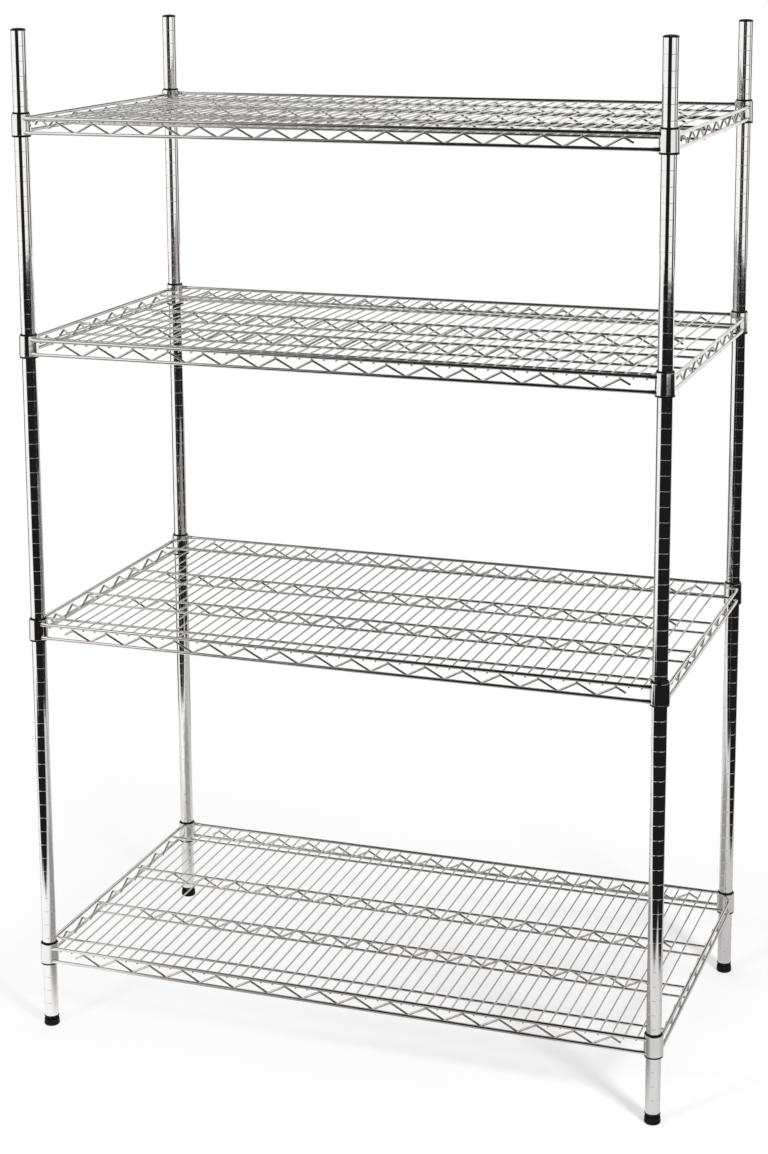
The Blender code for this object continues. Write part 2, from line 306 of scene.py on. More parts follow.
    @staticmethod
    def copy(piece: Object, name: str, shift: Sequence[float]) -> Object:
        """Copy a piece with its mesh.

        Args:
            piece: What is copied.
            name: The copy's name.
            shift: How far the copy's mesh is moved.

        Returns:
            The copy.
        """
        double = piece.copy()
        double.data = piece.data.copy()
        double.data.transform(Matrix.Translation(Vector(shift)))
        double.name = name
        double.data.name = name
        bpy.context.collection.objects.link(double)
        return double

    @staticmethod
    def mirror(piece: Object, across: Point) -> Object:
        """Copy a piece and turn the copy over across an axis plane.

        Args:
            piece: What is copied.
            across: The sign of each axis, with one that is -1, such as (1, -1, 1).

        Returns:
            The copy.
        """
        double = Bench.copy(piece, piece.name + "_mirrored", ORIGIN)
        double.data.transform(Matrix.Diagonal((*across, 1.0)))
        double.data.flip_normals()
        return double

    @staticmethod
    def join(pieces: Sequence[Object], name: str) -> Object:
        """Join pieces into one object.

        Args:
            pieces: What is joined, into the first of them.
            name: The joined object's name.

        Returns:
            The joined object.
        """
        Bench.work_on(pieces[0])
        for piece in pieces[1:]:
            piece.select_set(True)
        bpy.ops.object.join()
        pieces[0].name = name
        pieces[0].data.name = name
        return pieces[0]

    @staticmethod
    def drop(pieces: Sequence[Object]) -> None:
        """Delete patterns that were only there to be copied."""
        for piece in pieces:
            bpy.data.objects.remove(piece, do_unlink=True)


class Signal:
    """One value of a shader graph; arithmetic on it adds Math nodes."""

    def __init__(self, graph: "Graph", socket: bpy.types.NodeSocket) -> None:
        """Keep the graph and the socket that gives the value."""
        self.graph = graph
        self.socket = socket

    def __add__(self, other: Number) -> "Signal":
        """Return self + other."""
        return self.graph.maths("ADD", self, other)

    def __radd__(self, other: Number) -> "Signal":
        """Return other + self."""
        return self.graph.maths("ADD", other, self)

    def __sub__(self, other: Number) -> "Signal":
        """Return self - other."""
        return self.graph.maths("SUBTRACT", self, other)

    def __rsub__(self, other: Number) -> "Signal":
        """Return other - self."""
        return self.graph.maths("SUBTRACT", other, self)

    def __mul__(self, other: Number) -> "Signal":
        """Return self * other."""
        return self.graph.maths("MULTIPLY", self, other)

    def __rmul__(self, other: Number) -> "Signal":
        """Return other * self."""
        return self.graph.maths("MULTIPLY", other, self)

    def __neg__(self) -> "Signal":
        """Return -self."""
        return self.graph.maths("MULTIPLY", self, -1.0)

    def __abs__(self) -> "Signal":
        """Return the size of the value without its sign."""
        return self.graph.maths("ABSOLUTE", self)

    def rise(self, start: float, end: float) -> "Signal":
        """Return a smooth step from 0 at start to 1 at end; start may lie above end."""
        sockets = {"Value": self, "From Min": start, "From Max": end}
        return self.graph.node("ShaderNodeMapRange", {"interpolation_type": "SMOOTHSTEP"}, sockets)

    def within(self, low: float, high: float, soft: float) -> "Signal":
        """Return a mask of the values between low and high, with soft edges."""
        return self.rise(low - soft, low + soft) * self.rise(high + soft, high - soft)

    def covered(self, level: float, mask: "Signal") -> "Signal":
        """Return the value, brought to a level where a mask is 1."""
        return self + (level - self) * mask


class Graph:
    """A node tree under construction."""

    def __init__(self, tree: bpy.types.NodeTree) -> None:
        """Start from an empty tree."""
        self.tree = tree
        tree.nodes.clear()

    def feed(self, socket: bpy.types.NodeSocket, value: object) -> None:
        """Set a socket to a value, or link a signal to it.

        Args:
            socket: An input of a node.
            value: The value or the signal.
        """
        if isinstance(value, Signal):
            self.tree.links.new(value.socket, socket)
        else:
            socket.default_value = value

    def node(
        self,
        kind: str,
        settings: dict[str, object] | None = None,
        sockets: dict[str | int, object] | None = None,
        output: str | int | None = 0,
    ) -> Signal | None:
        """Add a node.

        Args:
            kind: Blender's name of the node type.
            settings: Attributes of the node, which are set first.
            sockets: Values or signals of the inputs, by name, identifier or index.
            output: The output to return, by name or index, or None.

        Returns:
            The signal of that output.
        """
        made = self.tree.nodes.new(kind)
        for name, value in (settings or {}).items():
            setattr(made, name, value)
        for name, value in (sockets or {}).items():
            self.feed(self.find(made, name), value)
        return None if output is None else Signal(self, made.outputs[output])

    @staticmethod
    def find(made: bpy.types.Node, name: str | int) -> bpy.types.NodeSocket:
        """Find an input of a node.

        Args:
            made: The node.
            name: The input's index, identifier or name.

        Returns:
            The input.
        """
        if isinstance(name, int):
            return made.inputs[name]
        for socket in made.inputs:
            if socket.identifier == name:
                return socket
        return made.inputs[name]

    def surface(self, shader: Signal) -> None:
        """Make a shader the material's surface."""
        self.node("ShaderNodeOutputMaterial", None, {"Surface": shader}, None)

    def maths(self, operation: str, *values: Number) -> Signal:
        """Add a Math node on numbers and signals."""
        return self.node("ShaderNodeMath", {"operation": operation}, dict(enumerate(values)))

    def mix(self, share: Number, first: Point, second: Point) -> Signal:
        """Mix two colours.

        Args:
            share: 0 gives the first colour and 1 the second.
            first: One colour.
            second: The other colour.

        Returns:
            The mixed colour.
        """
        sockets = {"Factor_Float": share, "A_Color": (*first, 1.0), "B_Color": (*second, 1.0)}
        return self.node("ShaderNodeMix", {"data_type": "RGBA"}, sockets, 2)

    def place(self, scale: Point = (1.0, 1.0, 1.0)) -> Signal:
        """Return object coordinates, stretched by a scale on each axis."""
        spot = self.node("ShaderNodeTexCoord", output="Object")
        return self.node("ShaderNodeMapping", None, {"Vector": spot, "Scale": scale})

    def noise(self, spot: Signal, scale: float, detail: float = 3.0) -> Signal:
        """Return noise from 0 to 1 at a place."""
        sockets = {"Vector": spot, "Scale": scale, "Detail": detail}
        return self.node("ShaderNodeTexNoise", None, sockets, "Fac")

    def height(self) -> Signal:
        """Return the Z of object coordinates."""
        spot = self.node("ShaderNodeTexCoord", output="Object")
        return self.node("ShaderNodeSeparateXYZ", None, {0: spot}, "Z")

    def bump(self, relief: Signal, strength: float, distance: float) -> Signal:
        """Return a normal bumped by a relief."""
        sockets = {"Height": relief, "Strength": strength, "Distance": distance}
        return self.node("ShaderNodeBump", None, sockets)

    def principled(self, sockets: dict[str | int, object]) -> Signal:
        """Return a Principled shader."""
        return self.node("ShaderNodeBsdfPrincipled", None, sockets)


def new_material(name: str) -> tuple[bpy.types.Material, Graph]:
    """Make a material that has no nodes yet.

    Args:
        name: Its name.

    Returns:
        The material and its graph.
    """
    material = bpy.data.materials.new(name)
    material.use_nodes = True
    return material, Graph(material.node_tree)


@dataclass(frozen=True)
class Finish:
    """A procedural finish, with the name of a slot, which this script keeps but doesn't use.

    In the kinds of finish, an edge gives the levels of a noise between which a pattern sets in.
    Shade and wear say how much a pattern adds to the colour, and matting to the roughness.
    """

    name: str
    slot: str

    def material(self) -> bpy.types.Material:
        """Make the finish.

        Returns:
            The material.
        """
        material, graph = new_material(self.name)
        graph.surface(self.shader(graph))
        return material

    def shader(self, graph: Graph) -> Signal:
        """Return the surface shader; each kind of finish builds its own."""
        raise NotImplementedError


@dataclass(frozen=True)
class ChromePlate(Finish):
    """Bright chrome plate, with faint haze, polishing lines and a hint of waviness."""

    tint: Point = (0.95, 0.93, 0.925)
    shade: Point = (0.86, 0.835, 0.83)
    roughness: float = 0.035
    haze: float = 0.05
    cloud_scale: float = 14.0
    cloud_edge: Span = (0.40, 0.72)
    cloud_shade: float = 0.55
    cloud_haze: float = 0.6
    grain: Point = (90.0, 90.0, 6.0)
    line_scale: float = 22.0
    line_detail: float = 4.0
    line_haze: float = 0.4
    line_relief: float = 0.15
    speck_scale: float = 620.0
    speck_detail: float = 2.0
    speck_edge: Span = (0.66, 0.80)
    speck_shade: float = 0.35
    speck_matting: float = 0.08
    wave_scale: float = 75.0
    wave_detail: float = 1.0
    wave_depth: float = 0.0006
    ripple: float = 0.05

    def shader(self, graph: Graph) -> Signal:
        """Build the chrome's nodes.

        Args:
            graph: The material's graph.

        Returns:
            The surface shader.
        """
        spot = graph.place()
        clouds = graph.noise(spot, self.cloud_scale)
        lines = graph.noise(graph.place(self.grain), self.line_scale, self.line_detail)
        specks = graph.noise(spot, self.speck_scale, self.speck_detail).rise(*self.speck_edge)
        waves = graph.noise(spot, self.wave_scale, self.wave_detail)
        dulled = clouds.rise(*self.cloud_edge) * self.cloud_shade + specks * self.speck_shade
        hazy = clouds * self.cloud_haze + lines * self.line_haze
        sockets = {
            "Base Color": graph.mix(dulled, self.tint, self.shade),
            "Roughness": self.roughness + self.haze * hazy + specks * self.speck_matting,
            "Metallic": 1.0,
            "Normal": graph.bump(waves + lines * self.line_relief, self.ripple, self.wave_depth),
        }
        return graph.principled(sockets)


@dataclass(frozen=True)
class MouldedPlastic(Finish):
    """Black moulded plastic with a fine grain, rubbed spots and a little dust."""

    colour: Point = (0.004, 0.004, 0.004)
    rubbed: Point = (0.014, 0.0135, 0.013)
    gloss: float = 0.12
    roughness: float = 0.30
    patch_scale: float = 90.0
    patch_edge: Span = (0.46, 0.75)
    patch_wear: float = 0.6
    patch_matting: float = 0.14
    scuff_stretch: Point = (60.0, 60.0, 400.0)
    scuff_scale: float = 5.0
    scuff_detail: float = 4.0
    scuff_edge: Span = (0.58, 0.74)
    scuff_wear: float = 0.35
    scuff_matting: float = 0.10
    scuff_relief: float = 0.4
    pebble_scale: float = 1900.0
    pebble_detail: float = 2.0
    grain: float = 0.10
    grain_depth: float = 0.0002
    dust_below: float = -1.0
    dust_wear: float = 0.8

    def shader(self, graph: Graph) -> Signal:
        """Build the plastic's nodes.

        Args:
            graph: The material's graph.

        Returns:
            The surface shader.
        """
        spot = graph.place()
        patches = graph.noise(spot, self.patch_scale)
        pebbles = graph.noise(spot, self.pebble_scale, self.pebble_detail)
        stretched = graph.place(self.scuff_stretch)
        scuffs = graph.noise(stretched, self.scuff_scale, self.scuff_detail).rise(*self.scuff_edge)
        worn = patches.rise(*self.patch_edge) * self.patch_wear + scuffs * self.scuff_wear
        if self.dust_below > 0.0:
            worn = worn + graph.height().rise(self.dust_below, 0.0) * patches * self.dust_wear
        relief = pebbles + scuffs * self.scuff_relief
        sockets = {
            "Base Color": graph.mix(worn, self.colour, self.rubbed),
            "Roughness": self.roughness + patches * self.patch_matting + scuffs * self.scuff_matting,
            "Normal": graph.bump(relief, self.grain, self.grain_depth),
            "Specular IOR Level": self.gloss,
        }
        return graph.principled(sockets)


@dataclass(frozen=True)
class ZincPlate(Finish):
    """Dull zinc plate with a faint spangle."""

    tint: Point = (0.62, 0.63, 0.65)
    shade: Point = (0.42, 0.43, 0.45)
    roughness: float = 0.26
    spangle_scale: float = 420.0
    spangle_detail: float = 4.0
    spangle_shade: float = 0.3
    spangle_matting: float = 0.14
    spangle_relief: float = 0.12
    spangle_depth: float = 0.0002
    stain_scale: float = 110.0
    stain_edge: Span = (0.45, 0.75)
    stain_shade: float = 0.6
    stain_matting: float = 0.08

    def shader(self, graph: Graph) -> Signal:
        """Build the zinc's nodes.

        Args:
            graph: The material's graph.

        Returns:
            The surface shader.
        """
        spot = graph.place()
        spangle = graph.noise(spot, self.spangle_scale, self.spangle_detail)
        stain = graph.noise(spot, self.stain_scale).rise(*self.stain_edge)
        dulled = stain * self.stain_shade + spangle * self.spangle_shade
        matting = spangle * self.spangle_matting + stain * self.stain_matting
        sockets = {
            "Base Color": graph.mix(dulled, self.tint, self.shade),
            "Roughness": self.roughness + matting,
            "Metallic": 1.0,
            "Normal": graph.bump(spangle, self.spangle_relief, self.spangle_depth),
        }
        return graph.principled(sockets)


# The chrome tints are a little warm, for the warm hue of the surroundings that the chrome mirrors:
# painted reflection colour.
POST_CHROME = ChromePlate("post_chrome_plate", "post_chrome")
SHELF_CHROME = ChromePlate(
    "shelf_chrome_plate",
    "shelf_chrome",
    tint=(0.93, 0.895, 0.88),
    shade=(0.80, 0.755, 0.735),
    roughness=0.045,
    grain=(60.0, 60.0, 60.0),
    ripple=0.04,
)
COLLAR_CHROME = ChromePlate(
    "collar_chrome_plate",
    "shelf_chrome",
    tint=(0.90, 0.88, 0.875),
    shade=(0.78, 0.76, 0.75),
    roughness=0.05,
)
STEM_ZINC = ZincPlate("stem_zinc_plate", "stem_zinc")
SLEEVE_BLACK = MouldedPlastic("sleeve_black_plastic", "sleeve_black")
CAP_BLACK = MouldedPlastic("cap_black_plastic", "cap_black", roughness=0.28, grain=0.06)
INSERT_BLACK = MouldedPlastic("insert_black_plastic", "insert_black", roughness=0.38)
BASE_BLACK = MouldedPlastic(
    "base_black_plastic",
    "base_black",
    colour=(0.0035, 0.0035, 0.0035),
    roughness=0.42,
    dust_below=0.004,
)


class Outfitter:
    """Hands finished pieces to the frame and dresses them."""

    def __init__(self) -> None:
        """Start with no material made yet."""
        self.materials: dict[str, bpy.types.Material] = {}

    def deliver(self, piece: Object, body: str, node: str, finish: Finish) -> None:
        """Dress a piece, let it ride on its body and stand for its CAD node.

        Args:
            piece: The finished piece.
            body: The body that carries it.
            node: The CAD node that it stands for.
            finish: Its finish.
        """
        if finish.name not in self.materials:
            self.materials[finish.name] = finish.material()
        piece.data.materials.clear()
        piece.data.materials.append(self.materials[finish.name])
        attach(piece, body)
        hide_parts(node)
        LOG.info("%s rides on %s with %d faces", piece.name, body, len(piece.data.polygons))


@dataclass
class GroovedPosts:
    """Tube posts with a rolled groove at every pitch.

    groove_shape gives points of a groove as shares of its half width and of its depth.
    """

    layout: Layout
    outfitter: Outfitter
    groove_width: float = 0.0011
    groove_depth: float = 0.00022
    groove_shape: Steps = ((-1.0, 0.0), (-0.25, 1.0), (0.25, 1.0), (1.0, 0.0))
    rim: float = 0.0003
    sides: int = 36

    def one_pitch(self) -> Profile:
        """Draw one pitch of the tube's outer wall.

        Returns:
            Its (radius, height) line, with the groove in the middle.
        """
        pitch = self.layout.groove_pitch
        radius = self.layout.post_radius
        line = [(radius, pitch / 2)]
        for share, dip in self.groove_shape:
            line.append((radius - dip * self.groove_depth, pitch + share * self.groove_width / 2))
        line.append((radius, 3 * pitch / 2))
        return line

    def close_end(self, height: float, end: float) -> None:
        """Draw one end of the tube out to its cut rim and into its bore.

        Args:
            height: Where the repeated pitches end.
            end: Where the tube ends.
        """
        radius = self.layout.post_radius
        lip = math.copysign(self.rim, end - height)
        Bench.pick(lambda place: abs(place.z - height) < SAME_PLACE)
        Bench.push((0.0, 0.0, end - height - lip))
        Bench.push((0.0, 0.0, lip))
        narrower = (radius - self.rim) / radius
        Bench.stretch((narrower, narrower, 1.0), (0.0, 0.0, end))
        Bench.push(ORIGIN)
        narrower = self.layout.bore / (radius - self.rim)
        Bench.stretch((narrower, narrower, 1.0), (0.0, 0.0, end))

    def model(self) -> Object:
        """Model one post.

        Returns:
            The post, with its bottom at the origin.
        """
        pitch = self.layout.groove_pitch
        grooves = round(self.layout.post_length / pitch) - 1
        Bench.turn(self.one_pitch(), closed=False, steps=self.sides)
        bpy.ops.object.mode_set(mode="OBJECT")
        Bench.repeat(grooves, (0.0, 0.0, pitch), merge=True)
        Bench.edit()
        self.close_end(pitch / 2, 0.0)
        self.close_end((grooves + 0.5) * pitch, self.layout.post_length)
        bore = self.layout.bore
        Bench.pick(lambda place: math.hypot(place.x, place.y) < bore + SAME_PLACE)
        bpy.ops.mesh.bridge_edge_loops()
        return Bench.seal(angle=20.0)

    def build(self) -> None:
        """Model a post and set one at each corner."""
        post = self.model()
        for corner in Corner:
            node = "post_" + corner.label
            shift = self.layout.axis(corner, self.layout.post_bottom)
            piece = Bench.copy(post, node + "_tube", shift)
            self.outfitter.deliver(piece, "frame", node, POST_CHROME)
        Bench.drop([post])


@dataclass
class PostCaps:
    """Domed plugs that close the post tops.

    dome_shape gives points of the dome as shares of its radius and of its height.
    """

    layout: Layout
    outfitter: Outfitter
    overhang: float = 0.0004
    dome: float = 0.0040
    dome_shape: Steps = (
        (0.0, 1.0),
        (0.30, 0.975),
        (0.55, 0.90),
        (0.75, 0.77),
        (0.89, 0.59),
        (0.97, 0.42),
    )
    rim_edge: Steps = ((0.0, 0.0011), (0.0, 0.0003), (0.0002, 0.0))
    plug_length: float = 0.0120
    plug_taper: float = 0.0008

    def model(self) -> Object:
        """Model one cap.

        Returns:
            The cap, with the post top at the origin.
        """
        rim = self.layout.post_radius + self.overhang
        plug = self.layout.bore - self.layout.fit_gap
        seat = self.layout.fit_gap
        line = [(rim * out, seat + self.dome * up) for out, up in self.dome_shape]
        line += Bench.rounded(rim, seat, self.rim_edge, 1)
        line += [(plug, seat), (plug, -self.plug_length + self.plug_taper)]
        line += [(plug - self.plug_taper, -self.plug_length), (0.0, -self.plug_length)]
        Bench.turn(line, closed=False)
        return Bench.seal()

    def build(self) -> None:
        """Model a cap and set one on each post."""
        cap = self.model()
        top = self.layout.post_bottom + self.layout.post_length
        for corner in Corner:
            node = "cap_" + corner.label
            piece = Bench.copy(cap, node + "_dome", self.layout.axis(corner, top))
            self.outfitter.deliver(piece, "frame", node, CAP_BLACK)
        Bench.drop([cap])


@dataclass
class LevellingFeet:
    """Plugs in the post bottoms, threaded stems and moulded bases.

    Edges give how far each point lies inside a radius and from a face. tooth gives points of the
    thread as shares of its depth and of its pitch. flank gives the base's wall, with heights
    above the floor.
    """

    layout: Layout
    outfitter: Outfitter
    flange_overhang: float = 0.0007
    flange_thickness: float = 0.0028
    flange_top: Steps = ((0.0005, 0.0), (0.0001, 0.0002), (0.0, 0.0006))
    flange_bottom: Steps = ((0.0, 0.0006), (0.0002, 0.0002), (0.0006, 0.0))
    plug_length: float = 0.0250
    plug_edge: Steps = ((0.0006, 0.0), (0.0, 0.0010))
    hole_edge: float = 0.0005
    stem_radius: float = 0.0040
    stem_reach: float = 0.0300
    thread_pitch: float = 0.00125
    thread_depth: float = 0.00062
    thread_steps: int = 20
    spare_turns: int = 2
    tooth: Steps = ((1.0, 0.0), (0.0, 0.40), (0.0, 0.55), (1.0, 0.95), (1.0, 1.0))
    hexagon_sides: int = 6
    hexagon_across: float = 0.0170
    hexagon_height: float = 0.0022
    hexagon_turn: float = 10.0
    hexagon_bevel: float = 0.0005
    base_radius: float = 0.0140
    sole_radius: float = 0.0122
    crown_radius: float = 0.0120
    base_height: float = 0.0130
    base_floor: float = 0.0035
    mouth_edge: float = 0.0004
    crown_edge: Steps = ((0.0012, 0.0), (0.0003, 0.0002))
    shoulder: Steps = ((0.0013, 0.0009), (0.0006, 0.0018), (0.0004, 0.0028))
    flank: Steps = (
        (0.0003, 0.0062),
        (0.0008, 0.0058),
        (0.0008, 0.0054),
        (0.0001, 0.0050),
        (0.0, 0.0040),
        (0.0, 0.0026),
        (0.0003, 0.0014),
        (0.0009, 0.0005),
    )
    sole_edge: Steps = ((0.0, 0.0), (0.0022, 0.0), (0.0028, 0.0005))
    sole_hollow: float = 0.0005

    def insert(self) -> Object:
        """Model one plug.

        Returns:
            The plug, with the post bottom at the origin.
        """
        gap = self.layout.fit_gap
        hole = self.stem_radius + gap
        rim = self.layout.post_radius + self.flange_overhang
        plug = self.layout.bore - gap
        low = -gap - self.flange_thickness
        high = self.plug_length
        line = [(hole + self.hole_edge, high)]
        line += Bench.rounded(plug, high, self.plug_edge, -1)
        line += [(plug, -gap)]
        line += Bench.rounded(rim, -gap, self.flange_top, -1)
        line += Bench.rounded(rim, low, self.flange_bottom, 1)
        line += [(hole + self.hole_edge, low), (hole, low + self.hole_edge)]
        line += [(hole, high - self.hole_edge)]
        Bench.turn(line, closed=True)
        return Bench.seal()

    def thread(self, low: float, high: float) -> Object:
        """Model one threaded rod with a screw modifier, cut at both ends.

        Args:
            low: Height of its lower end.
            high: Height of its upper end.

        Returns:
            The rod.
        """
        pitch = self.thread_pitch
        start = low - self.spare_turns * pitch
        line = []
        for dip, up in self.tooth:
            line.append((self.stem_radius - dip * self.thread_depth, start + up * pitch))
        Bench.draw(line, closed=False)
        bpy.ops.object.mode_set(mode="OBJECT")
        rod = bpy.context.object
        screw = rod.modifiers.new("thread", "SCREW")
        screw.axis = "Z"
        screw.screw_offset = pitch
        screw.iterations = math.ceil((high - low) / pitch) + 2 * self.spare_turns
        screw.steps = self.thread_steps
        screw.render_steps = self.thread_steps
        screw.use_merge_vertices = True
        screw.merge_threshold = SAME_PLACE
        bpy.ops.object.modifier_apply(modifier=screw.name)
        Bench.edit()
        bpy.ops.mesh.remove_doubles(threshold=SAME_PLACE)
        Bench.cut((0.0, 0.0, low), (0.0, 0.0, -1.0))
        Bench.cut((0.0, 0.0, high), (0.0, 0.0, 1.0))
        return Bench.seal(angle=25.0)

    def stem(self) -> Object:
        """Model one threaded stem with its hexagon.

        Returns:
            The stem, with the floor at the origin.
        """
        gap = self.layout.fit_gap
        thread = self.thread(self.base_floor + gap, self.layout.post_bottom + self.stem_reach)
        seat = self.base_height + gap
        Bench.clear()
        bpy.ops.mesh.primitive_cylinder_add(
            vertices=self.hexagon_sides,
            radius=self.hexagon_across / 2 / math.cos(math.pi / self.hexagon_sides),
            depth=self.hexagon_height,
            location=(0.0, 0.0, seat + self.hexagon_height / 2),
            rotation=(0.0, 0.0, math.radians(self.hexagon_turn)),
        )
        Bench.settle(bpy.context.object)
        Bench.edit()
        bpy.ops.mesh.bevel(offset=self.hexagon_bevel, segments=2, affect="EDGES")
        return Bench.join([thread, Bench.seal(angle=35.0)], "stem")

    def base(self) -> Object:
        """Model one moulded base.

        Returns:
            The base, standing on the floor at the origin.
        """
        hole = self.stem_radius + self.layout.fit_gap
        top = self.base_height
        line = [(0.0, self.base_floor), (hole, self.base_floor)]
        line += [(hole, top - self.mouth_edge), (hole + self.mouth_edge, top)]
        line += Bench.rounded(self.crown_radius, top, self.crown_edge, -1)
        line += Bench.rounded(self.base_radius, top, self.shoulder, -1)
        line += Bench.rounded(self.base_radius, 0.0, self.flank, 1)
        line += Bench.rounded(self.sole_radius, 0.0, self.sole_edge, 1)
        line += [(0.0, self.sole_hollow)]
        Bench.turn(line, closed=False)
        return Bench.seal(angle=50.0)

    def build(self) -> None:
        """Model the three pieces and set them under each post."""
        patterns = [self.insert(), self.stem(), self.base()]
        insert, stem, base = patterns
        for corner in Corner:
            label = corner.label
            foot = "foot_" + label
            floor = self.layout.axis(corner)
            seat = self.layout.axis(corner, self.layout.post_bottom)
            plug = Bench.copy(insert, "foot_insert_" + label + "_plug", seat)
            self.outfitter.deliver(plug, "frame", "foot_insert_" + label, INSERT_BLACK)
            screw = Bench.copy(stem, "foot_stem_" + label + "_screw", floor)
            self.outfitter.deliver(screw, foot, "foot_stem_" + label, STEM_ZINC)
            pad = Bench.copy(base, "foot_base_" + label + "_pad", floor)
            self.outfitter.deliver(pad, foot, "foot_base_" + label, BASE_BLACK)
        Bench.drop(patterns)


@dataclass
class ClipSleeves:
    """Split tapered sleeves that lock into post grooves and carry the shelves.

    Edges give how far each point lies inside a radius and from a face. ring_shape gives points of a
    fine ring as shares of its width and of its depth.
    """

    layout: Layout
    outfitter: Outfitter
    top: float = 0.0155
    bottom: float = -0.0265
    top_wall: float = 0.0013
    bottom_wall: float = 0.0020
    top_edge: Steps = ((0.0, 0.0005), (0.0004, 0.0))
    bore_top: Steps = ((-0.0002, 0.0), (0.0, 0.0003))
    bore_bottom: Steps = ((0.0, 0.0003), (-0.0003, 0.0))
    split: float = 0.0008
    lip: float = 0.0012
    lip_height: float = 0.0029
    lip_lower_edge: Steps = ((0.0006, 0.0), (0.0002, 0.0002), (0.0, 0.0006))
    lip_upper_edge: Steps = ((0.0, 0.0005), (0.0002, 0.0001), (0.0005, 0.0))
    bead_width: float = 0.0015
    bead_height: float = 0.0004
    bead_flat: float = 0.3
    ring_depth: float = 0.00035
    ring_width: float = 0.0012
    ring_shape: Steps = ((-0.5, 0.0), (-0.3, 1.0), (0.3, 1.0), (0.5, 0.0))
    rings: tuple[float, ...] = (-0.0185, -0.0105, -0.0025, 0.0055)

    @property
    def bore(self) -> float:
        """Inner radius of the sleeve."""
        return self.layout.post_radius + self.layout.fit_gap

    def outer(self, height: float) -> float:
        """Return the outer radius at a height above the groove."""
        share = (height - self.bottom) / (self.top - self.bottom)
        return self.bore + self.bottom_wall + share * (self.top_wall - self.bottom_wall)

    def outline(self) -> Profile:
        """Draw the section of the sleeve's wall.

        Returns:
            Its closed (radius, height) line.
        """
        bead = self.bead_width / 2
        brim = self.outer(self.bottom) + self.lip
        lip_top = self.bottom + self.lip_height
        line = Bench.rounded(brim, self.bottom, self.lip_lower_edge, 1)
        line += Bench.rounded(brim, lip_top, self.lip_upper_edge, -1)
        line += [(self.outer(lip_top), lip_top)]
        for ring in self.rings:
            for share, dip in self.ring_shape:
                height = ring + share * self.ring_width
                line.append((self.outer(height) - dip * self.ring_depth, height))
        line += Bench.rounded(self.outer(self.top), self.top, self.top_edge, -1)
        line += Bench.rounded(self.bore, self.top, self.bore_top, -1)
        line += [(self.bore, bead), (self.bore - self.bead_height, bead * self.bead_flat)]
        line += [(self.bore - self.bead_height, -bead * self.bead_flat), (self.bore, -bead)]
        line += Bench.rounded(self.bore, self.bottom, self.bore_bottom, 1)
        return line

    def model(self, half: Half) -> Object:
        """Model one half of a sleeve.

        Args:
            half: Which half.

        Returns:
            The half, with its groove at the origin.
        """
        Bench.turn(self.outline(), closed=True)
        bpy.ops.mesh.normals_make_consistent(inside=False)
        Bench.cut((0.0, half.side * self.split / 2, 0.0), (0.0, -half.side, 0.0))
        return Bench.seal()

    def build(self) -> None:
        """Model both halves and clip a pair to each post below each shelf."""
        for half in Half:
            pattern = self.model(half)
            for tier in Tier:
                for corner in Corner:
                    node = f"sleeve_{tier.label}_{corner.label}_{half.label}"
                    spot = self.layout.axis(corner, self.layout.groove_height(tier))
                    piece = Bench.copy(pattern, node + "_shell", spot)
                    self.outfitter.deliver(piece, "frame", node, SLEEVE_BLACK)
            Bench.drop([pattern])


